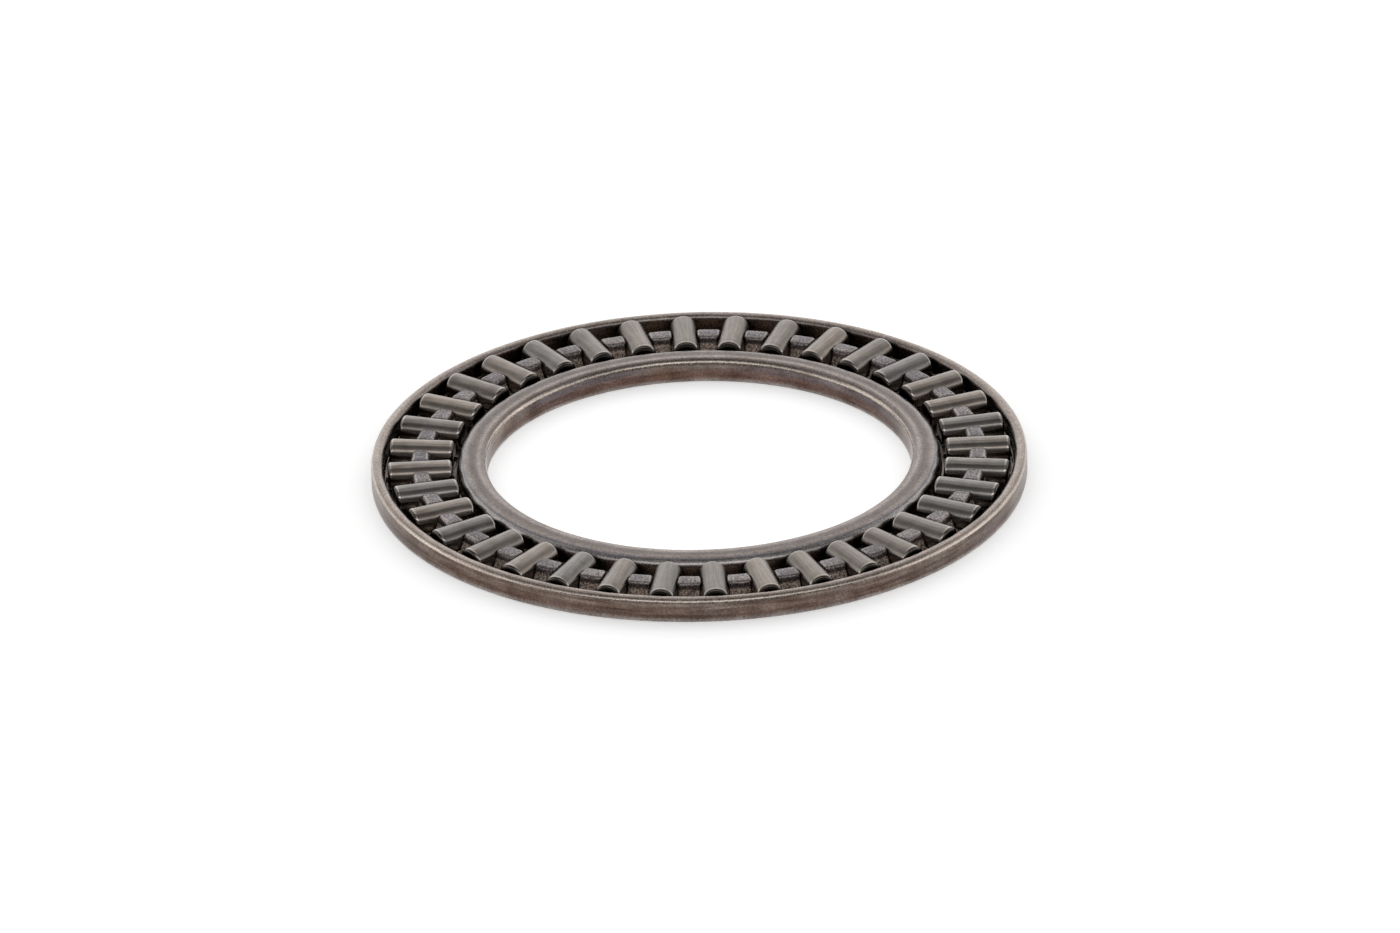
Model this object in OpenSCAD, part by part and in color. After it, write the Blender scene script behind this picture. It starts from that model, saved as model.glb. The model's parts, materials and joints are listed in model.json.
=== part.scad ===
// Thrust needle roller bearing without washers: a one-piece pressed steel cage and its loose needle
// rollers. +Z is the bearing axis. The origin is the centre of the face that the bearing lies on.

/* [Cage] */
// Outside diameter of the cage
cage_d = 46.8; // [46.6:0.1:47]
// Bore diameter of the cage
bore_d = 30.3; // [30.1:0.1:30.5]
// Height of the cage from its lower edges to the tops of both rims
cage_h = 1.8; // [1.74:0.02:1.84]
// Thickness of the cage sheet
sheet_t = 0.4; // [0.36:0.02:0.4]
// Width of the broad inner rim
inner_rim_w = 2.1; // [1.9:0.05:2.1]
// Width of the narrow folded outer rim
outer_rim_w = 0.9; // [0.86:0.02:0.92]

/* [Crossbars] */
// Height of the crossbars' crowns
crown_h = 1.72; // [1.6:0.02:1.74]
// Radius from the bearing axis to the middle of the crowns
crown_r = 19.9; // [19.8:0.05:20]
// Flat width across the top of a crown
crown_flat = 0.9; // [0.6:0.1:1]

/* [Rollers] */
// Number of rollers
roller_count = 36; // [30:1:36]
// Diameter of a roller
roller_d = 2; // [1.98:0.01:2]
// Length of a roller
roller_l = 4.6; // [4.5:0.05:4.65]
// Radius from the bearing axis to the middle of a roller
roller_r = 19.93; // [19.9:0.01:19.95]
// Radius of the rounded edge at each end of a roller
roller_edge = 0.26; // [0.1:0.02:0.3]

/* [Pockets] */
// Gap between a roller and the sides of its pocket
side_gap = 0.06; // [0.04:0.01:0.08]
// Gap between the end of a roller and the end of its pocket
end_gap = 0.12; // [0.08:0.01:0.13]
// Width of a pocket between the lips of the crowns, which keep the roller from rising out
crown_slot = 1.9; // [1.8:0.02:1.94]
// Width of a pocket through the low webs, which keep the roller from dropping out
web_slot = 1.74; // [1.66:0.02:1.8]

/* [Hidden] */
$fn = 96;

// The crossbars' steep flanks run across and rise in whole steps of these two lengths
flank_run = 0.007;
flank_rise = 0.024;
flank_steps = round((crown_h - sheet_t) / flank_rise);

// Middle line of the sheet in the plane of a radius and the axis, as [radius, height] corners
half_t = sheet_t / 2;
bore_r = bore_d / 2;
rim_r = cage_d / 2;
edge_z = half_t;
web_z = half_t;
top_z = cage_h - half_t;
crown_z = web_z + flank_steps * flank_rise;
flank_w = flank_steps * flank_run;
bore_wall_r = bore_r + half_t;
inner_wall_r = bore_r + inner_rim_w - half_t;
hem_wall_r = rim_r - outer_rim_w + half_t;
rim_wall_r = rim_r - half_t;
crown_in_r = crown_r - crown_flat / 2;
crown_out_r = crown_r + crown_flat / 2;
section = [
    [bore_wall_r, edge_z],
    [bore_wall_r, top_z],
    [inner_wall_r, top_z],
    [inner_wall_r, web_z],
    [crown_in_r - flank_w, web_z],
    [crown_in_r, crown_z],
    [crown_out_r, crown_z],
    [crown_out_r + flank_w, web_z],
    [hem_wall_r, web_z],
    [hem_wall_r, top_z],
    [rim_wall_r, top_z],
    [rim_wall_r, edge_z]
];

// Bend radii of the middle line: the broad rim's shoulder at the bore and the one at the rollers, the
// feet of both rims' walls, the feet of the flanks, the shoulders of the crown, and the hem
bore_bend = 0.3;
rim_bend = 0.55;
wall_foot_bend = 0.3;
flank_foot_bend = 0.4;
crown_bend = 0.2;
hem_bend = (rim_wall_r - hem_wall_r) / 2;
// One bend for each corner of the section, none at its two ends
bends = [
    0, bore_bend, rim_bend, wall_foot_bend,
    flank_foot_bend, crown_bend, crown_bend, flank_foot_bend,
    wall_foot_bend, hem_bend, hem_bend, 0
];

pitch = 360 / roller_count;
roller_z = roller_d / 2;
pocket_l = roller_l + 2 * end_gap;
pocket_w = roller_d + 2 * side_gap;
// Height of the lips' lower edges, which stand as far from the roller as the pocket's sides do
lip_z = roller_z + sqrt(pow(pocket_w / 2, 2) - pow(crown_slot / 2, 2));
// How far a pocket's cut runs past the sheet
overcut = 0.5;

roller_names = [for (i = [1 : roller_count]) str("roller_", i < 10 ? "0" : "", i)];

function unit(v) = v / norm(v);
function left_of(v) = [-v[1], v[0]];
// Direction of the leg that leaves corner i
function leg(path, i) = unit(path[i + 1] - path[i]);
// Angle that the path turns through at corner i, positive to the left
function turn(path, i) =
    let (a = leg(path, i - 1), b = leg(path, i))
    atan2(a[0] * b[1] - a[1] * b[0], a * b);
// Distance from a corner to the point where its bend begins
function setback(path, bends, i) =
    i == 0 || i == len(path) - 1 ? 0 : bends[i] * tan(abs(turn(path, i)) / 2);

// One straight stretch of the sheet between two bends, where they leave one
module straight(path, bends, i) {
    d = leg(path, i);
    from = path[i] + d * setback(path, bends, i);
    to = path[i + 1] - d * setback(path, bends, i + 1);
    side = left_of(d) * half_t;
    shortest = 0.001;
    if ((to - from) * d > shortest)
        polygon([from - side, to - side, to + side, from + side]);
}

// One bend of the sheet, a sector of a ring
module bend(path, bends, i) {
    a = turn(path, i);
    inward = left_of(leg(path, i - 1)) * sign(a);
    from = path[i] - leg(path, i - 1) * setback(path, bends, i);
    centre = from + inward * bends[i];
    start = atan2(-inward[1], -inward[0]);
    reach = 2 * (bends[i] + sheet_t);
    translate(centre)
        intersection() {
            difference() {
                circle(bends[i] + half_t);
                circle(bends[i] - half_t);
            }
            polygon([
                [0, 0],
                reach * [cos(start), sin(start)],
                reach * [cos(start + a / 2), sin(start + a / 2)],
                reach * [cos(start + a), sin(start + a)]
            ]);
        }
}

// Section of the folded sheet, with its two free edges rounded over
module folded_sheet(path, bends) {
    last = len(path) - 1;
    for (i = [0 : last - 1]) straight(path, bends, i);
    for (i = [1 : last - 1]) bend(path, bends, i);
    for (i = [0, last]) translate(path[i]) circle(half_t);
}

// A slot of one width between two heights
module slot(width, low, high) {
    translate([-width / 2, low]) square([width, high - low]);
}

// Section across a pocket: the slots through the webs and between the lips, and the roller's room
module pocket_section() {
    slot(web_slot, -overcut, roller_z);
    slot(pocket_w, sheet_t, lip_z);
    slot(crown_slot, roller_z, cage_h + overcut);
}

// Room that one roller needs in the cage
module pocket() {
    translate([roller_r - pocket_l / 2, 0, 0])
        rotate([90, 0, 90]) linear_extrude(pocket_l) pocket_section();
}

module cage() {
    color("dimgray")
        difference() {
            rotate_extrude() folded_sheet(section, bends);
            for (i = [0 : roller_count - 1]) rotate(i * pitch) pocket();
        }
}

// Half section of a roller along its length: flat ends with rounded edges
module roller_section() {
    r = roller_d / 2;
    flat_r = r - roller_edge;
    square([flat_r, roller_l]);
    translate([0, roller_edge]) square([r, roller_l - 2 * roller_edge]);
    for (z = [roller_edge, roller_l - roller_edge])
        translate([flat_r, z]) circle(roller_edge);
}

module roller(i) {
    color("darkgray")
        rotate(i * pitch)
            translate([roller_r - roller_l / 2, 0, roller_z])
                rotate([0, 90, 0]) rotate_extrude() roller_section();
}

cage();
for (i = [0 : roller_count - 1])
    roller(i);
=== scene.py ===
import json
import math

import bmesh
import bpy
from mathutils import Matrix, Vector, noise


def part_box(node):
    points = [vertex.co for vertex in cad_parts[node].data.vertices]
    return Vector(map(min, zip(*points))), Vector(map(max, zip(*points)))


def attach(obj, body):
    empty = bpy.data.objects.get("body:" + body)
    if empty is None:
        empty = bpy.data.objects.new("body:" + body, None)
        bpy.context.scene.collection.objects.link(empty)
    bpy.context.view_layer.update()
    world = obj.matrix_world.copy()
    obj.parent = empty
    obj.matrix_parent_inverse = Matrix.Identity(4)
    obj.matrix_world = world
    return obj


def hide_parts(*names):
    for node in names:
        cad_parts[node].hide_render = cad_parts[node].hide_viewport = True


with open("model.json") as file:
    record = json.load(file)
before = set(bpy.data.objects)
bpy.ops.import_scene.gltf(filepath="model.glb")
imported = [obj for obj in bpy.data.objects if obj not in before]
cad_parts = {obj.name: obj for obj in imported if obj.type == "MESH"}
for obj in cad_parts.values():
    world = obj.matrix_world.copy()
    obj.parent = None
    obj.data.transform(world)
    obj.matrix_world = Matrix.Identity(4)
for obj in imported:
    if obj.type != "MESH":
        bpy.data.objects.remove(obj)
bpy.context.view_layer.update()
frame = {"nodes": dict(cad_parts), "record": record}

# Lengths are in millimetres. Radii run from the bearing axis, and heights from the table.
MM = 0.001
MOUNTS = {m["name"]: m for m in frame["record"]["mounts"]}
ROLLERS = sorted(n for n in frame["nodes"] if n.startswith("roller_"))
PITCH = 2 * math.pi / len(ROLLERS)

# The cage: the outline of its folded sheet, the run of a crossbar's flank for each millimetre that it rises,
# and the bend radii of the sheet's middle line
BORE_R = MOUNTS["bore"]["dims"]["r_mm"]
RIM_R = MOUNTS["outer_rim"]["dims"]["r_mm"]
CAGE_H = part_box("cage")[1].z / MM
HALF_T = 0.2
INNER_RIM_W = 2.1
OUTER_RIM_W = 0.9
CROWN_H = 1.72
CROWN_R = 19.9
CROWN_FLAT = 0.9
FLANK_SLOPE = 7 / 24
BORE_BEND = 0.3
RIM_BEND = 0.55
WALL_FOOT_BEND = 0.3
FLANK_FOOT_BEND = 0.4
CROWN_BEND = 0.2

# The pockets: radii of their ends, half widths at three heights, and radii of their rounded edges
POCKET_IN_R = 17.51
POCKET_OUT_R = 22.35
WEB_HALF_SLOT = 0.87
FLANK_HALF_SLOT = 1.05
LIP_HALF_SLOT = 0.91
WEB_EDGE = 0.05
CROWN_EDGE = 0.2
# Radii where the rounded edges at a pocket's two ends begin
EDGE_IN_R = POCKET_IN_R - WEB_EDGE
EDGE_OUT_R = POCKET_OUT_R + WEB_EDGE
# Heights between which a pocket widens to the flanks, narrows to the lips, and gets rounder edges
WIDENING = (0.4, 0.6)
NARROWING = (1.0, 1.8)
ROUNDING = (0.7, 1.5)

# Slight waves of the pressed sheet, two in radius and one in height, as (depth, scale and shift of its noise)
LONG_WAVE = (0.010, 0.22, (0, 0, 0))
SHORT_WAVE = (0.006, 0.8, (50, 0, 0))
LIFT_WAVE = (0.008, 0.35, (0, 90, 0))
# Heights between which the upward waves begin, so that the cage's feet stay on the table
LIFTING = (0.3, 1.2)

# The rollers
ROLLER_R = 1.0
ROLLER_L = 4.6
ROLLER_MID_R = 19.93
ROLLER_EDGE = 0.26
# Rings of vertices on a roller's end face, as shares of the radius of its flat part
FACE_RINGS = (0.5, 0.9)

# Mesh density: columns across a crossbar and a pocket, steps round a pocket's edge, and sides of a roller
BAR_COLUMNS = 5
POCKET_COLUMNS = 5
EDGE_STEPS = 3
ROLLER_SIDES = 64
# Steps down a pocket's wall: round the upper edge, straight down, and round the lower edge
WALL_STEPS = 2 * EDGE_STEPS + 1

# The camera that fits the ring's outline in the photograph, with its distance in metres
VIEW_ELEVATION = math.radians(26.25)
VIEW_TURN = math.radians(2.4)
VIEW_ROLL = math.radians(-1.473)
VIEW_DISTANCE = 1.25
LENS = 450.5
SENSOR = 36.0
# The image in pixels, and the pixel that shows the origin
IMAGE = (1400, 933)
ORIGIN_PIXEL = (699.5, 475.1)


def smooth(value, low, high):
    """0 below low, 1 above high, and a soft step between."""
    t = min(max((value - low) / (high - low), 0.0), 1.0)
    return t * t * (3 - 2 * t)


def mix(a, b, t):
    return a + (b - a) * t


def toward_middle(value, first, last):
    """The way from an end of a range to its middle: 1 at the first, -1 at the last, and 0 between."""
    return 1 if value == first else -1 if value == last else 0


def gray(value):
    return (value, value, value)


def add_mesh(name, verts, faces, same=0.0001 * MM):
    """A smooth-shaded object from vertices in millimetres, with points that coincide joined."""
    mesh = bpy.data.meshes.new(name)
    mesh.from_pydata([Vector(v) * MM for v in verts], [], faces)
    skin = bmesh.new()
    skin.from_mesh(mesh)
    bmesh.ops.remove_doubles(skin, verts=skin.verts, dist=same)
    skin.to_mesh(mesh)
    skin.free()
    mesh.validate()
    mesh.shade_smooth()
    piece = bpy.data.objects.new(name, mesh)
    bpy.context.scene.collection.objects.link(piece)
    return piece


# Mesh of the cage

def sheet_corners():
    """Corners of the folded sheet's middle line as (radius, height, bend radius), from bore to outer rim."""
    top_z = CAGE_H - HALF_T
    crown_z = CROWN_H - HALF_T
    flank_w = (crown_z - HALF_T) * FLANK_SLOPE
    inner_wall_r = BORE_R + INNER_RIM_W - HALF_T
    hem_wall_r = RIM_R - OUTER_RIM_W + HALF_T
    rim_wall_r = RIM_R - HALF_T
    hem_bend = (rim_wall_r - hem_wall_r) / 2
    crown_in_r = CROWN_R - CROWN_FLAT / 2
    crown_out_r = CROWN_R + CROWN_FLAT / 2
    return [
        (BORE_R + HALF_T, HALF_T, 0),
        (BORE_R + HALF_T, top_z, BORE_BEND),
        (inner_wall_r, top_z, RIM_BEND),
        (inner_wall_r, HALF_T, WALL_FOOT_BEND),
        (EDGE_IN_R, HALF_T, 0),
        (crown_in_r - flank_w, HALF_T, FLANK_FOOT_BEND),
        (crown_in_r, crown_z, CROWN_BEND),
        (crown_out_r, crown_z, CROWN_BEND),
        (crown_out_r + flank_w, HALF_T, FLANK_FOOT_BEND),
        (EDGE_OUT_R, HALF_T, 0),
        (hem_wall_r, HALF_T, WALL_FOOT_BEND),
        (hem_wall_r, top_z, hem_bend),
        (rim_wall_r, top_z, hem_bend),
        (rim_wall_r, HALF_T, 0),
    ]


def sheet_stations(corners, bend_step=math.radians(12), leg_step=0.3, shortest=0.005):
    """Points along the middle line as (point, normal to the upper side), with arcs at the bends."""
    points = [Vector((r, z)) for r, z, bend in corners]
    legs = [(b - a).normalized() for a, b in zip(points, points[1:])]
    stations = []
    start = points[0]
    for i, leg in enumerate(legs):
        normal = Vector((-leg.y, leg.x))
        bend = corners[i + 1][2]
        turn = 0
        if bend:
            after = legs[i + 1]
            turn = math.atan2(leg.x * after.y - leg.y * after.x, leg.dot(after))
        # A bend begins and ends this many times its radius from the corner
        setback = math.tan(abs(turn) / 2)
        end = points[i + 1] - leg * bend * setback
        length = (end - start).length
        if length > shortest:
            steps = max(1, round(length / leg_step))
            stations += [(start.lerp(end, k / steps), normal) for k in range(steps)]
        start = end
        if bend:
            inward = normal * math.copysign(1, turn)
            centre = end + inward * bend
            steps = max(2, round(abs(turn) / bend_step))
            for k in range(steps):
                spin = Matrix.Rotation(turn * k / steps, 2)
                stations.append((centre - spin @ inward * bend, spin @ normal))
            start = points[i + 1] + after * bend * setback
    stations.append((start, normal))
    return stations


def half_slot(z):
    """Half width of a pocket at a height: narrow through the webs, wide at the flanks, and in at the lips."""
    width = mix(WEB_HALF_SLOT, FLANK_HALF_SLOT, smooth(z, *WIDENING))
    return mix(width, LIP_HALF_SLOT, smooth(z, *NARROWING))


def edge_round(z, side):
    """Radius of a bar's edge at a height: pressed round on top of the crown, nearly sharp elsewhere."""
    return mix(WEB_EDGE, CROWN_EDGE, smooth(z, *ROUNDING)) if side > 0 else WEB_EDGE


def ripple(place, wave):
    depth, scale, shift = wave
    return depth * noise.noise(place * scale + Vector(shift))


def dented(r, angle, z):
    """A point of the cage with the waves of pressed sheet, which stay within the outside radius."""
    place = Vector((r, angle * RIM_R, z))
    across = min(ripple(place, LONG_WAVE) + ripple(place, SHORT_WAVE), RIM_R - r)
    lift = ripple(place, LIFT_WAVE) * smooth(z, *LIFTING)
    return ((r + across) * math.cos(angle), (r + across) * math.sin(angle), z + lift)


class CageMesh:
    """The folded sheet as one closed skin of quads.

    A row is one station of the section and runs round the ring. Columns run along the section. Side is 1 for
    the upper side of the sheet and -1 for the lower one.
    """

    def __init__(self):
        self.stations = sheet_stations(sheet_corners())
        self.row_in = self.nearest_row(EDGE_IN_R)
        self.row_out = self.nearest_row(EDGE_OUT_R)
        self.pitch_columns = POCKET_COLUMNS + BAR_COLUMNS
        self.columns = len(ROLLERS) * self.pitch_columns
        self.verts = []
        self.faces = []
        self.index = {}

    def nearest_row(self, radius):
        return min(range(len(self.stations)), key=lambda row: abs(self.stations[row][0].x - radius))

    def surface(self, row, side):
        """Point of the sheet's skin at a row, as (radius, height)."""
        point, normal = self.stations[row]
        return point + normal * HALF_T * side

    def pocket_angle(self, row, side):
        """Angle from a pocket's middle to where the rounded edge beside it begins."""
        inside = self.row_in < row < self.row_out
        at = self.surface(row if inside else self.row_in, side)
        return math.asin((half_slot(at.y) + edge_round(at.y, side)) / at.x)

    def angle(self, row, side, column):
        """Angle of a column round the ring: each pitch is a pocket and the bar after it."""
        pitch, c = divmod(column, self.pitch_columns)
        a = self.pocket_angle(row, side)
        if c <= POCKET_COLUMNS:
            return pitch * PITCH + mix(-a, a, c / POCKET_COLUMNS)
        return pitch * PITCH + mix(a, PITCH - a, (c - POCKET_COLUMNS) / BAR_COLUMNS)

    def vertex(self, key, r, angle, z):
        """Index of the vertex with a key, which is made the first time it is asked for."""
        if key not in self.index:
            self.index[key] = len(self.verts)
            self.verts.append(dented(r, angle, z))
        return self.index[key]

    def skin(self, row, side, column):
        column %= self.columns
        at = self.surface(row, side)
        return self.vertex((row, side, column), at.x, self.angle(row, side, column), at.y)

    def lay_quad(self, corner, i, j, flip=False):
        """One face of a grid, whose corners the function gives as vertices."""
        quad = [corner(i, j), corner(i + 1, j), corner(i + 1, j + 1), corner(i, j + 1)]
        self.faces.append(quad[::-1] if flip else quad)

    def lay_skin(self, side):
        """The upper or the lower side of the sheet, open at the pockets."""

        def corner(row, column):
            return self.skin(row, side, column)

        for row in range(len(self.stations) - 1):
            for column in range(self.columns):
                in_pocket = column % self.pitch_columns < POCKET_COLUMNS
                if not (in_pocket and self.row_in <= row < self.row_out):
                    self.lay_quad(corner, row, column, flip=side < 0)

    def lay_free_edge(self, row, outward, steps=6):
        """The rounded free edge of the sheet at one end of the section."""
        point, normal = self.stations[row]
        along = Vector((normal.y, -normal.x)) * outward

        def corner(step, column):
            if step in (0, steps):
                return self.skin(row, 1 if step == 0 else -1, column)
            a = math.pi * step / steps
            at = point + (normal * math.cos(a) + along * math.sin(a)) * HALF_T
            column %= self.columns
            return self.vertex((row, "edge", step, column), at.x, self.angle(row, 1, column), at.y)

        for step in range(steps):
            for column in range(self.columns):
                self.lay_quad(corner, step, column, flip=outward < 0)

    def wall(self, spot, step):
        """One point of a pocket's wall, so many steps down from a spot on the loop round the pocket.

        A spot is (row, column, way into the pocket in radius, way into it in angle).
        """
        row, column, toward_r, toward_angle = spot
        side = 1 if step <= EDGE_STEPS else -1
        turn = math.pi / 2 * (step if side > 0 else WALL_STEPS - step) / EDGE_STEPS
        if turn == 0:
            return self.skin(row, side, column)
        normal = self.stations[row][1]
        at = self.surface(row, side)
        r = edge_round(at.y, side)
        at = at - normal * side * r * (1 - math.cos(turn))
        reach = r * math.sin(turn)
        angle = self.angle(row, side, column) + toward_angle * reach / at.x
        column %= self.columns
        return self.vertex((row, column, step, toward_angle), at.x + toward_r * reach, angle, at.y)

    def lay_pocket(self, pitch):
        """The walls of one pocket, as a loop of spots round it."""
        left = pitch * self.pitch_columns
        right = left + POCKET_COLUMNS
        first, last = self.row_in, self.row_out
        loop = [(first, c, 1, toward_middle(c, left, right)) for c in range(left, right)]
        loop += [(row, right, toward_middle(row, first, last), -1) for row in range(first, last)]
        loop += [(last, c, -1, toward_middle(c, left, right)) for c in range(right, left, -1)]
        loop += [(row, left, toward_middle(row, first, last), 1) for row in range(last, first, -1)]

        def corner(step, i):
            return self.wall(loop[i % len(loop)], step)

        for i in range(len(loop)):
            for step in range(WALL_STEPS):
                self.lay_quad(corner, step, i)

    def build(self):
        for side in (1, -1):
            self.lay_skin(side)
        self.lay_free_edge(0, -1)
        self.lay_free_edge(len(self.stations) - 1, 1)
        for pitch in range(len(ROLLERS)):
            self.lay_pocket(pitch)
        return add_mesh("pressed_cage", self.verts, self.faces)


# Mesh of a roller

def roller_profile(edge_steps=6, body_steps=8):
    """Points from the flat of one end face to that of the other, as (distance along, radius)."""
    flat_r = ROLLER_R - ROLLER_EDGE
    face = [(0, flat_r * share) for share in FACE_RINGS]
    arc = [math.pi / 2 * k / edge_steps for k in range(edge_steps + 1)]
    edge = [(ROLLER_EDGE * (1 - math.cos(a)), flat_r + ROLLER_EDGE * math.sin(a)) for a in arc]
    start, end = ROLLER_EDGE, ROLLER_L - ROLLER_EDGE
    body = [(mix(start, end, k / body_steps), ROLLER_R) for k in range(1, body_steps)]
    return face + edge + body + [(ROLLER_L - x, r) for x, r in reversed(face + edge)]


def build_roller(name, turn):
    """A roller in the pocket at an angle round the ring."""
    profile = roller_profile()
    spin = Matrix.Rotation(turn, 3, "Z")
    start = ROLLER_MID_R - ROLLER_L / 2
    verts = []
    for x, r in profile:
        for k in range(ROLLER_SIDES):
            a = 2 * math.pi * k / ROLLER_SIDES
            verts.append(spin @ Vector((start + x, r * math.cos(a), ROLLER_R + r * math.sin(a))))
    faces = []
    for ring in range(len(profile) - 1):
        for k in range(ROLLER_SIDES):
            a = ring * ROLLER_SIDES + k
            b = ring * ROLLER_SIDES + (k + 1) % ROLLER_SIDES
            faces.append([a, b, b + ROLLER_SIDES, a + ROLLER_SIDES])
    for x, first in ((0, 0), (ROLLER_L, len(verts) - ROLLER_SIDES)):
        centre = len(verts)
        verts.append(spin @ Vector((start + x, 0, ROLLER_R)))
        for k in range(ROLLER_SIDES):
            a = first + k
            b = first + (k + 1) % ROLLER_SIDES
            faces.append([centre, b, a] if x == 0 else [centre, a, b])
    return add_mesh(name, verts, faces)


# Materials

# Depth of the bump on both steels
BUMP_DEPTH = 0.02


class Nodes:
    """A short way to write a node tree.

    Each method adds nodes and gives an output socket. A socket that is given as a value is linked. A color
    is given as three numbers.
    """

    def __init__(self, tree):
        self.tree = tree
        self.tree.nodes.clear()

    def put(self, socket, value):
        if isinstance(value, bpy.types.NodeSocket):
            self.tree.links.new(value, socket)
        elif socket.type == "RGBA":
            socket.default_value = (*value, 1)
        else:
            socket.default_value = value

    def add(self, kind, inputs=None, **settings):
        """Adds a node and gives the node itself."""
        node = self.tree.nodes.new(kind)
        for key, value in settings.items():
            setattr(node, key, value)
        for key, value in (inputs or {}).items():
            self.put(node.inputs[key], value)
        return node

    def math(self, operation, *values, clamp=False):
        inputs = dict(enumerate(values))
        return self.add("ShaderNodeMath", inputs, operation=operation, use_clamp=clamp).outputs[0]

    def product(self, value, *factors):
        for factor in factors:
            value = self.math("MULTIPLY", value, factor)
        return value

    def blend(self, kind, factor, a, b):
        # A mix node has its color sockets at places 6, 7 and 2, because their names aren't unique
        node = self.add("ShaderNodeMix", {0: factor}, data_type="RGBA", blend_type=kind)
        self.put(node.inputs[6], a)
        self.put(node.inputs[7], b)
        return node.outputs[2]

    def mix(self, factor, a, b):
        return self.blend("MIX", factor, a, b)

    def tint(self, color, by, factor=1.0):
        """A color multiplied by another."""
        return self.blend("MULTIPLY", factor, color, by)

    def step(self, value, low, high, to_low=0.0, to_high=1.0):
        """A soft step from to_low, where the value is low, to to_high. Low may be greater than high."""
        inputs = {"Value": value, "From Min": low, "From Max": high, "To Min": to_low, "To Max": to_high}
        return self.add("ShaderNodeMapRange", inputs, interpolation_type="SMOOTHSTEP").outputs[0]

    def band(self, value, rise, fall):
        """1 between two soft steps and 0 outside them, each step as (where it is 0, where it is 1)."""
        return self.product(self.step(value, *rise), self.step(value, *fall))

    def fade(self, share, at_zero, at_one):
        """A number that goes softly from one value to another as a share goes from 0 to 1."""
        return self.step(share, 0.0, 1.0, at_zero, at_one)

    def ramp(self, value, stops):
        """A color that follows a value, through stops as (value, color)."""
        node = self.add("ShaderNodeValToRGB", {"Fac": value})
        ramp = node.color_ramp
        while len(ramp.elements) < len(stops):
            ramp.elements.new(0.5)
        for element, (position, color) in zip(ramp.elements, stops):
            element.position = position
            element.color = (*color, 1)
        return node.outputs["Color"]

    def noise(self, place, scale, detail=2.0, roughness=0.5):
        inputs = {"Vector": place, "Scale": scale, "Detail": detail, "Roughness": roughness}
        return self.add("ShaderNodeTexNoise", inputs).outputs["Fac"]

    def vector(self, x, y, z):
        return self.add("ShaderNodeCombineXYZ", {"X": x, "Y": y, "Z": z}).outputs[0]

    def parts(self, vector):
        """The three parts of a vector."""
        return self.add("ShaderNodeSeparateXYZ", {0: vector}).outputs

    def rays(self, *kinds):
        """1 for rays of the given kinds, else 0."""
        path = self.add("ShaderNodeLightPath")
        found = path.outputs[kinds[0]]
        for kind in kinds[1:]:
            found = self.math("ADD", found, path.outputs[kind], clamp=True)
        return found

    def steel_surface(self, inputs, height, bump):
        """The surface shader with its bump, and the output."""
        settings = {"Height": height, "Strength": bump, "Distance": BUMP_DEPTH * MM}
        normal = self.add("ShaderNodeBump", settings).outputs[0]
        shader = self.add("ShaderNodeBsdfPrincipled", {**inputs, "Normal": normal})
        self.add("ShaderNodeOutputMaterial", {"Surface": shader.outputs[0]})


class Place:
    """Where a surface point lies, as sockets: x, y, z and radius in millimetres, and angle in radians."""

    def __init__(self, n):
        self.n = n
        place = n.add("ShaderNodeTexCoord").outputs["Object"]
        self.x, self.y, self.z = (n.math("DIVIDE", part, MM) for part in n.parts(place))
        squares = n.math("ADD", n.product(self.x, self.x), n.product(self.y, self.y))
        self.radius = n.math("SQRT", squares)
        self.angle = n.math("ARCTAN2", self.y, self.x)
        self.point = n.vector(self.x, self.y, self.z)

    def stretched(self, radius, angle, z):
        """The place for a noise that is drawn out round the ring: each part times its own number."""
        n = self.n
        return n.vector(n.product(self.radius, radius), n.product(self.angle, angle), n.product(self.z, z))


def new_material(name):
    material = bpy.data.materials.new(name)
    material.use_nodes = True
    return material, Nodes(material.node_tree)


# Tones of the rims' tops by radius: fine concentric bands, bluish at the rollers
RIM_TONES = [
    (15.15, (0.130, 0.108, 0.098)),
    (15.55, (0.135, 0.112, 0.102)),
    (15.66, (0.22, 0.187, 0.170)),
    (15.80, (0.20, 0.168, 0.152)),
    (15.93, (0.135, 0.113, 0.104)),
    (16.08, (0.095, 0.077, 0.070)),
    (16.35, (0.105, 0.087, 0.079)),
    (16.52, (0.150, 0.124, 0.110)),
    (16.74, (0.186, 0.163, 0.154)),
    (16.88, (0.150, 0.142, 0.150)),
    (17.25, (0.115, 0.111, 0.124)),
    (22.50, (0.20, 0.172, 0.158)),
    (22.95, (0.25, 0.210, 0.184)),
    (23.40, (0.20, 0.168, 0.148)),
]

# Other tones of the cage, and the tint of the bore's wall. Among the tones are painted reflections on the
# walls, painted shade in the low places and painted highlights on the worn places
WALL_TONE = (0.152, 0.116, 0.097)
WALL_DARK_REFLECTION_TONE = (0.132, 0.094, 0.078)
WALL_FOOT_REFLECTION_TONE = (0.30, 0.262, 0.242)
STAIN_TONE = (0.215, 0.200, 0.195)
PAINTED_SHADE_TONE = (0.115, 0.090, 0.077)
CORNER_WEAR_HIGHLIGHT_TONE = (0.46, 0.395, 0.345)
SHOULDER_WEAR_HIGHLIGHT_TONE = (0.42, 0.39, 0.37)
CROWN_WEAR_HIGHLIGHT_TONE = (0.33, 0.30, 0.285)
BORE_TINT = (0.88, 0.73, 0.67)

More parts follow.
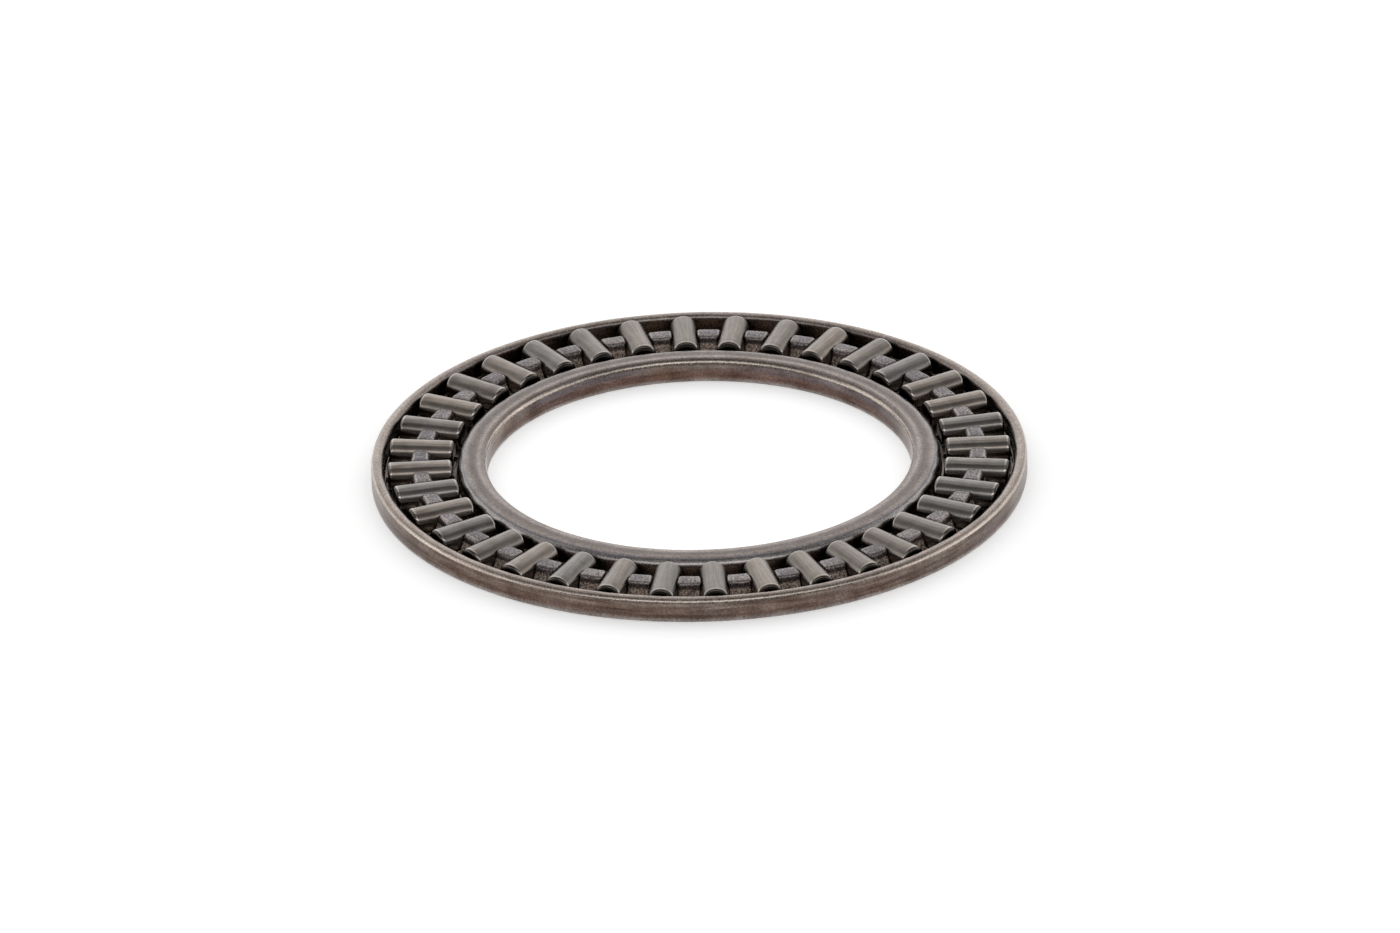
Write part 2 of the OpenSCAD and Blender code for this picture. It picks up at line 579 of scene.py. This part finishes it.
# Tones and tints of the cage that follow a noise, as (value of the noise, color)
WALL_BANDS = [(0.35, (0.72, 0.66, 0.62)), (0.65, (1.32, 1.30, 1.28))]
WALL_MOTTLE = [(0.3, (0.75, 0.70, 0.68)), (0.7, (1.3, 1.35, 1.4))]
TEMPER_TONES = [(0.42, (0.128, 0.131, 0.150)), (0.58, (0.215, 0.166, 0.120))]
TOP_MOTTLE = [(0.3, (0.85, 0.83, 0.82)), (0.7, (1.12, 1.13, 1.15))]
SPECKLE_TONES = [(0.36, (0.026, 0.023, 0.024)), (0.64, (0.175, 0.161, 0.169))]
SPECKLE_PATCHES = [(0.35, gray(0.7)), (0.6, gray(1.1))]
SPECKLE_DRIFT = [(0.38, (0.72, 0.72, 0.76)), (0.62, (1.3, 1.24, 1.18))]
# Brown oxide on the bars' feet, lightened as painted bounce light
BAR_FOOT_BOUNCE_TONES = [(0.34, (0.26, 0.21, 0.18)), (0.66, (1.0, 0.81, 0.68))]
GRAIN_TINTS = [(0.3, gray(0.65)), (0.7, gray(1.35))]
LINE_TINTS = [(0.3, gray(0.82)), (0.7, gray(1.18))]

# Numbers that radius, angle and height are multiplied by for a noise that is drawn out round the ring
LINE_STRETCH = (1.0, 1.5, 1.0)
BAND_STRETCH = (1.2, 4.0, 3.2)

# Zones of the cage as soft steps, each as (where it is 0, where it is 1), or as bands of two such steps.
# A strength has its value at each end as well. These go by radius.
BORE_WALL = (15.6, 15.4)
BORE_CORNER = (15.62, 15.55)
TEMPERED = (16.3, 16.0)
STAIN_STRENGTH = (16.0, 20.0, 0.7, 0.2)
SHOULDER = ((16.7, 16.9), (17.24, 17.1))
BETWEEN_RIMS = ((17.10, 17.26), (22.6, 22.48))
SPECKLED = ((17.30, 17.42), (22.5, 22.4))
BARS = ((18.2, 18.7), (21.6, 21.1))
OUTER_CORNER = (22.9, 23.0)
# These go by height
# Painted reflections on the walls: the white table's at their feet, and a darker band in their middle
WALL_FOOT_REFLECTION = (0.42, 0.12)
WALL_DARK_REFLECTION = ((0.3, 0.5), (1.1, 0.8))
TEMPER_STRENGTH = (0.7, 1.25, 0.12, 0.55)
BAR_FOOT = (1.32, 1.08)
# Painted shade: below this height between the rims, and on steep faces below the crowns
SHADE_BELOW_HEIGHT = (1.45, 1.1)
BELOW_CROWN = (1.68, 1.6)
CROWN_TOP = (1.5, 1.62)
# These go by how far the surface faces up, from 0 on a wall to 1 on a flat top
FACING_UP = (0.1, 0.6)
STEEP = (0.85, 0.7)
# Bands of tilt where the worn places are brightened as painted highlights
CORNER_HIGHLIGHT_TILT = ((0.2, 0.32), (0.80, 0.64))
SHOULDER_HIGHLIGHT_TILT = ((0.3, 0.42), (0.85, 0.75))
CROWN_HIGHLIGHT_TILT = ((0.5, 0.7), (0.99, 0.93))
# This goes by the value of a noise
STAINED = (0.52, 0.68)

# How much each layer shows over those below it. The painted shade of the low places shows less on the
# crossbars.
SPECKLE_SHARE = 0.85
STEEP_SHADE_SHARE = {"webs": 1.0, "bars": 0.35}
PAINTED_SHADE_SHARE = {"webs": 0.95, "bars": 0.75}
# Worn places, brightened as painted highlights
CORNER_WEAR_HIGHLIGHT_SHARE = 0.85
SHOULDER_WEAR_HIGHLIGHT_SHARE = 0.6
CROWN_WEAR_HIGHLIGHT_SHARE = 0.55

# Roughness of the cage's oxide and of its worn corners, what the grain adds to it, and the bump's strength
OXIDE_ROUGHNESS = 0.20
WORN_ROUGHNESS = 0.17
GRAIN_ROUGHNESS = 0.15
CAGE_BUMP = 0.5
# How much less metallic the speckled feet of the bars are, where the oxide is thick
FOOT_OXIDE = 0.5
# How much the second noise of a bump adds to the first
SECOND_RELIEF = 0.3


class CageFinish:
    """Pressed steel with a brown-gray oxide: bluish by the pockets, bronze on the walls, grainy all over.
    Painted shade darkens its low places, and painted reflections and highlights lie on its walls and worn
    places.
    """

    def __init__(self):
        self.material, self.n = new_material("cage_steel")
        n = self.n
        self.at = Place(n)
        self.mottle = n.noise(self.at.point, scale=0.55, detail=3.0, roughness=0.6)
        self.grain = n.noise(self.at.point, scale=7.0, roughness=0.7)
        self.lines = n.noise(self.at.stretched(*LINE_STRETCH), scale=4.0, detail=3.0, roughness=0.7)
        self.up = n.parts(n.add("ShaderNodeNewGeometry").outputs["Normal"])[2]
        self.flat = n.step(self.up, *FACING_UP)
        self.bar = n.band(self.at.radius, *BARS)
        self.bar_foot = n.product(self.bar, n.step(self.at.z, *BAR_FOOT))
        # Painted shade in the low places between the rims and on the steep faces below the crowns
        steep = n.product(n.step(self.at.z, *BELOW_CROWN), n.step(self.up, *STEEP), self.by_bar(STEEP_SHADE_SHARE))
        low = n.math("MAXIMUM", steep, n.step(self.at.z, *SHADE_BELOW_HEIGHT))
        self.low_shade = n.product(n.band(self.at.radius, *BETWEEN_RIMS), low)

    def by_bar(self, share):
        """A share that differs between the low webs and the crossbars."""
        return self.n.fade(self.bar, share["webs"], share["bars"])

    def wall_color(self):
        """The upright walls: bands of bronze, stains, temper colors toward the bore, and a darker middle band
        and pale feet that are painted reflections.
        """
        n = self.n
        at = self.at
        # A darker middle band, a painted reflection
        color = n.mix(n.band(at.z, *WALL_DARK_REFLECTION), WALL_TONE, WALL_DARK_REFLECTION_TONE)
        stain = n.product(n.step(n.noise(at.point, scale=0.14), *STAINED), n.step(at.radius, *STAIN_STRENGTH))
        color = n.mix(stain, color, STAIN_TONE)
        bands = n.noise(at.stretched(*BAND_STRETCH), scale=1.0, detail=3.0, roughness=0.6)
        color = n.tint(color, n.ramp(bands, WALL_BANDS))
        color = n.tint(color, BORE_TINT, factor=n.step(at.radius, *BORE_WALL))
        tempered = n.product(n.step(at.radius, *TEMPERED), n.step(at.z, *TEMPER_STRENGTH))
        color = n.mix(tempered, color, n.ramp(n.noise(at.point, scale=0.12), TEMPER_TONES))
        # Pale feet, a painted reflection of the white table
        color = n.mix(n.step(at.z, *WALL_FOOT_REFLECTION), color, WALL_FOOT_REFLECTION_TONE)
        return n.tint(color, n.ramp(self.mottle, WALL_MOTTLE))

    def top_color(self):
        """The rims' tops, by radius."""
        n = self.n
        width = RIM_R - BORE_R
        share = n.math("DIVIDE", n.math("SUBTRACT", self.at.radius, BORE_R), width, clamp=True)
        color = n.ramp(share, [((radius - BORE_R) / width, tone) for radius, tone in RIM_TONES])
        return n.tint(color, n.ramp(self.mottle, TOP_MOTTLE))

    def speckle_color(self):
        """The bluish speckle of the webs and the crossbars."""
        n = self.n
        color = n.ramp(self.grain, SPECKLE_TONES)
        color = n.tint(color, n.ramp(n.noise(self.at.point, scale=1.3), SPECKLE_PATCHES))
        return n.tint(color, n.ramp(n.noise(self.at.point, scale=0.33, detail=1.0), SPECKLE_DRIFT))

    def oxide_and_shade_color(self):
        """The oxide over the whole cage with painted shade in its low places, without its worn places."""
        n = self.n
        color = n.mix(self.flat, self.wall_color(), self.top_color())
        speckled = n.product(n.band(self.at.radius, *SPECKLED), n.math("MAXIMUM", self.flat, self.bar))
        color = n.mix(n.product(speckled, SPECKLE_SHARE), color, self.speckle_color())
        # Painted shade for the low places, with the bars' brown feet in it
        low_shade_and_foot_color = n.mix(self.bar_foot, PAINTED_SHADE_TONE, n.ramp(self.grain, BAR_FOOT_BOUNCE_TONES))
        return n.mix(n.product(self.low_shade, self.by_bar(PAINTED_SHADE_SHARE)), color, low_shade_and_foot_color)

    def worn_highlit_places(self):
        """The rims' outer corners, the broad rim's shoulder at the rollers, and the lips of the crowns: worn
        places that are also brightened as painted highlights over a band of tilt.
        """
        n = self.n
        at = self.at
        corners = n.math("MAXIMUM", n.step(at.radius, *OUTER_CORNER), n.step(at.radius, *BORE_CORNER))
        corner = n.product(corners, n.band(self.up, *CORNER_HIGHLIGHT_TILT))
        shoulder = n.product(n.band(at.radius, *SHOULDER), n.band(self.up, *SHOULDER_HIGHLIGHT_TILT))
        crown = n.product(self.bar, n.step(at.z, *CROWN_TOP), n.band(self.up, *CROWN_HIGHLIGHT_TILT))
        return corner, shoulder, crown

    def build(self):
        n = self.n
        corner, shoulder, crown = self.worn_highlit_places()
        color = self.oxide_and_shade_color()
        # Worn places, brightened as painted highlights over a band of tilt
        color = n.mix(n.product(corner, CORNER_WEAR_HIGHLIGHT_SHARE), color, CORNER_WEAR_HIGHLIGHT_TONE)
        color = n.mix(n.product(shoulder, SHOULDER_WEAR_HIGHLIGHT_SHARE), color, SHOULDER_WEAR_HIGHLIGHT_TONE)
        color = n.mix(n.product(crown, CROWN_WEAR_HIGHLIGHT_SHARE), color, CROWN_WEAR_HIGHLIGHT_TONE)
        color = n.tint(color, n.ramp(self.grain, GRAIN_TINTS))
        color = n.tint(color, n.ramp(self.lines, LINE_TINTS))
        worn = n.fade(n.math("MAXIMUM", corner, shoulder), OXIDE_ROUGHNESS, WORN_ROUGHNESS)
        rough = n.math("ADD", n.product(self.grain, GRAIN_ROUGHNESS), worn)
        metal = n.math("SUBTRACT", 1.0, n.product(self.low_shade, self.bar_foot, FOOT_OXIDE))
        height = n.math("ADD", self.grain, n.product(self.lines, SECOND_RELIEF))
        n.steel_surface({"Base Color": color, "Metallic": metal, "Roughness": rough}, height, CAGE_BUMP)
        return self.material


# Tones of the rollers, from one roller to another, and tints and tones along and at the ends of each: worn
# edges brightened as a painted highlight, and end faces darkened with painted shade
ROLLER_TONES = [(0.0, (0.172, 0.163, 0.157)), (0.5, (0.182, 0.163, 0.148)), (1.0, (0.226, 0.197, 0.172))]
STREAK_TINTS = [(0.35, gray(0.82)), (0.65, gray(1.16))]
PATCH_TINTS = [(0.3, (0.80, 0.78, 0.76)), (0.6, gray(1.06))]
END_WEAR_HIGHLIGHT_TONE = (0.42, 0.38, 0.35)
END_FACE_SHADE_TONE = (0.055, 0.048, 0.044)
END_WEAR_HIGHLIGHT_SHARE = 0.6
END_FACE_SHADE_SHARE = 0.9

# Streaks of the rollers: parts per millimetre along a roller, and across it
STREAK_ALONG = 0.35
STREAK_ACROSS = 7.0

# Soft steps by distance from a roller's middle, round the place where its rounded edge begins
EDGE_START = ROLLER_L / 2 - ROLLER_EDGE
# Worn rounded edges, brightened as a painted highlight
END_WEAR_HIGHLIGHT = ((EDGE_START - 0.03, EDGE_START + 0.03), (EDGE_START + 0.15, EDGE_START + 0.09))
# End faces, darkened with painted shade
SHADED_END_FACE = (EDGE_START + 0.11, EDGE_START + 0.19)
# Roughness on the body and on the ends, with the distances between which it changes
ROLLER_ROUGHNESS = (EDGE_START - 0.1, EDGE_START + 0.1, 0.22, 0.07)
PATCH_ROUGHNESS = 0.10
ROLLER_ANISOTROPY = 0.85
ROLLER_BUMP = 0.15


def roller_material():
    """Ground steel with fine streaks along the roller, worn edges brightened as a painted highlight, end
    faces darkened with painted shade, and a tone of its own.
    """
    material, n = new_material("roller_steel")
    at = Place(n)
    # The roller's number round the ring, and places across it and along it from its middle
    pitches = n.math("DIVIDE", at.angle, PITCH)
    number = n.math("ROUND", pitches)
    across = n.product(n.math("SUBTRACT", pitches, number), PITCH * ROLLER_MID_R)
    from_middle = n.math("ABSOLUTE", n.math("SUBTRACT", at.radius, ROLLER_MID_R))

    along = n.product(at.radius, STREAK_ALONG)
    streak_place = n.vector(along, n.product(across, STREAK_ACROSS), n.product(at.z, STREAK_ACROSS))
    streaks = n.noise(streak_place, scale=1.0, detail=3.0, roughness=0.6)
    patches = n.noise(at.point, scale=0.9, detail=3.0, roughness=0.6)
    grain = n.noise(at.point, scale=12.0, roughness=0.6)

    own_tone = n.add("ShaderNodeTexWhiteNoise", {"W": number}, noise_dimensions="1D").outputs["Value"]
    color = n.ramp(own_tone, ROLLER_TONES)
    color = n.tint(color, n.ramp(streaks, STREAK_TINTS))
    color = n.tint(color, n.ramp(patches, PATCH_TINTS))
    # Painted highlight on the worn rounded edges
    color = n.mix(n.product(n.band(from_middle, *END_WEAR_HIGHLIGHT), END_WEAR_HIGHLIGHT_SHARE), color, END_WEAR_HIGHLIGHT_TONE)
    # Painted shade on the end faces
    color = n.mix(n.product(n.step(from_middle, *SHADED_END_FACE), END_FACE_SHADE_SHARE), color, END_FACE_SHADE_TONE)
    rough = n.math("ADD", n.product(patches, PATCH_ROUGHNESS), n.step(from_middle, *ROLLER_ROUGHNESS))
    height = n.math("ADD", streaks, n.product(grain, SECOND_RELIEF))

    # The roller's axis is the tangent that its highlight is drawn out by
    turn = n.product(number, PITCH)
    axis = n.vector(n.math("COSINE", turn), n.math("SINE", turn), 0.0)
    spaces = {"vector_type": "VECTOR", "convert_from": "OBJECT", "convert_to": "WORLD"}
    tangent = n.add("ShaderNodeVectorTransform", {0: axis}, **spaces).outputs[0]
    inputs = {
        "Base Color": color,
        "Metallic": 1.0,
        "Roughness": rough,
        "Anisotropic": ROLLER_ANISOTROPY,
        "Tangent": tangent,
    }
    n.steel_surface(inputs, height, ROLLER_BUMP)
    return material


def floor_material(base=0.8, glow=0.40, bore_glow_painted_light=0.44, border=1.0):
    """White table: what is seen of it is lifted to white, but not under the ring, and the shadow stays. In
    the bore it is lifted a little more, painted light that lightens the shadow there.
    """
    material, n = new_material("table_white")
    radius = Place(n).radius
    inner = (BORE_R, BORE_R + border)
    outer = (RIM_R, RIM_R - border)
    bare = n.math("SUBTRACT", 1.0, n.band(radius, inner, outer))
    # Inside the bore the lift is a little stronger: painted light on the shadow there
    lift = n.product(bare, n.step(radius, *inner, bore_glow_painted_light, glow))
    seen = n.rays("Is Camera Ray", "Is Glossy Ray", "Is Transmission Ray")
    matt = n.add("ShaderNodeBsdfDiffuse", {"Color": gray(base)})
    light = n.add("ShaderNodeEmission", {"Strength": n.product(seen, lift)})
    both = n.add("ShaderNodeAddShader", {0: matt.outputs[0], 1: light.outputs[0]})
    n.add("ShaderNodeOutputMaterial", {"Surface": both.outputs[0]})
    return material


# Light: a low soft panel in front of the table and a broad one behind it, with a dark gap overhead, as
# (degrees from the horizon on the camera's side, over the top, to the one behind, strength)
PANELS = [
    (0, 0.12),
    (14, 0.14),
    (24, 0.2),
    (34, 0.35),
    (39, 2.4),
    (46, 2.4),
    (51, 0.5),
    (62, 0.4),
    (76, 0.26),
    (90, 0.26),
    (97, 0.95),
    (106, 1.1),
    (114, 0.9),
    (122, 1.1),
    (130, 1.6),
    (148, 1.55),
    (165, 1.62),
    (180, 1.75),
]
# Strength that white in the panels' ramp stands for
PANEL_WHITE = 4.0
# The panels' fall-off and the pale sides, by how far sideways a ray goes, with the strength at each end
SIDE_FALL = (0.3, 0.6, 1.0, 0.72)
PALE_SIDES = (0.80, 0.95, 0.0, 0.25)


def build_light():
    """A world that lights the bearing with panels and looks white to the camera."""
    world = bpy.data.worlds.new("studio")
    bpy.context.scene.world = world
    world.use_nodes = True
    n = Nodes(world.node_tree)
    x, y, z = n.parts(n.add("ShaderNodeTexCoord").outputs["Generated"])
    rise = n.math("ARCTAN2", z, n.product(y, -1))
    stops = [(degrees / 180, gray(strength / PANEL_WHITE)) for degrees, strength in PANELS]
    panels = n.ramp(n.math("DIVIDE", rise, math.pi, clamp=True), stops)
    aside = n.math("ABSOLUTE", x)
    fall = n.step(aside, *SIDE_FALL)
    panels = n.tint(panels, n.vector(fall, fall, fall))
    panels = n.mix(n.step(aside, *PALE_SIDES), panels, gray(1))
    seen = n.rays("Is Camera Ray", "Is Transmission Ray")
    lit = n.add("ShaderNodeBackground", {"Color": panels, "Strength": PANEL_WHITE})
    white = n.add("ShaderNodeBackground", {"Color": gray(1), "Strength": 1.0})
    both = n.add("ShaderNodeMixShader", {0: seen, 1: lit.outputs[0], 2: white.outputs[0]})
    n.add("ShaderNodeOutputWorld", {"Surface": both.outputs[0]})


def build_floor(size=6000.0, gap=0.01):
    """A square table, just below the bearing's feet."""
    half = size / 2
    corners = [(x * half, y * half, -gap) for x, y in ((-1, -1), (1, -1), (1, 1), (-1, 1))]
    floor = add_mesh("table", corners, [[0, 1, 2, 3]])
    floor.data.materials.append(floor_material())


def build_camera():
    """Looks at the ring as the photograph does, with the origin at its pixel."""
    data = bpy.data.cameras.new("camera")
    data.sensor_width = SENSOR
    data.lens = LENS
    camera = bpy.data.objects.new("camera", data)
    bpy.context.scene.collection.objects.link(camera)
    level = math.cos(VIEW_ELEVATION)
    back = Vector((-math.sin(VIEW_TURN) * level, -math.cos(VIEW_TURN) * level, math.sin(VIEW_ELEVATION)))
    right = Vector((0, 0, 1)).cross(back).normalized()
    up = back.cross(right)
    rolled_right = right * math.cos(VIEW_ROLL) + up * math.sin(VIEW_ROLL)
    rolled_up = up * math.cos(VIEW_ROLL) - right * math.sin(VIEW_ROLL)
    pixel = VIEW_DISTANCE * SENSOR / LENS / IMAGE[0]
    pan_right = (IMAGE[0] / 2 - ORIGIN_PIXEL[0]) * pixel
    pan_up = (ORIGIN_PIXEL[1] - IMAGE[1] / 2) * pixel
    place = back * VIEW_DISTANCE + rolled_right * pan_right + rolled_up * pan_up
    turn = Matrix((rolled_right, rolled_up, back)).transposed()
    camera.matrix_world = Matrix.Translation(place) @ turn.to_4x4()
    bpy.context.scene.camera = camera


def build_bearing():
    cage = CageMesh().build()
    cage.data.materials.append(CageFinish().build())
    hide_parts("cage")
    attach(cage, "cage")
    steel = roller_material()
    for i, node in enumerate(ROLLERS):
        roller = build_roller("needle_" + node, i * PITCH)
        roller.data.materials.append(steel)
        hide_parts(node)
        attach(roller, node)


build_camera()
build_light()
build_floor()
build_bearing()
bpy.context.scene.view_settings.view_transform = "Standard"
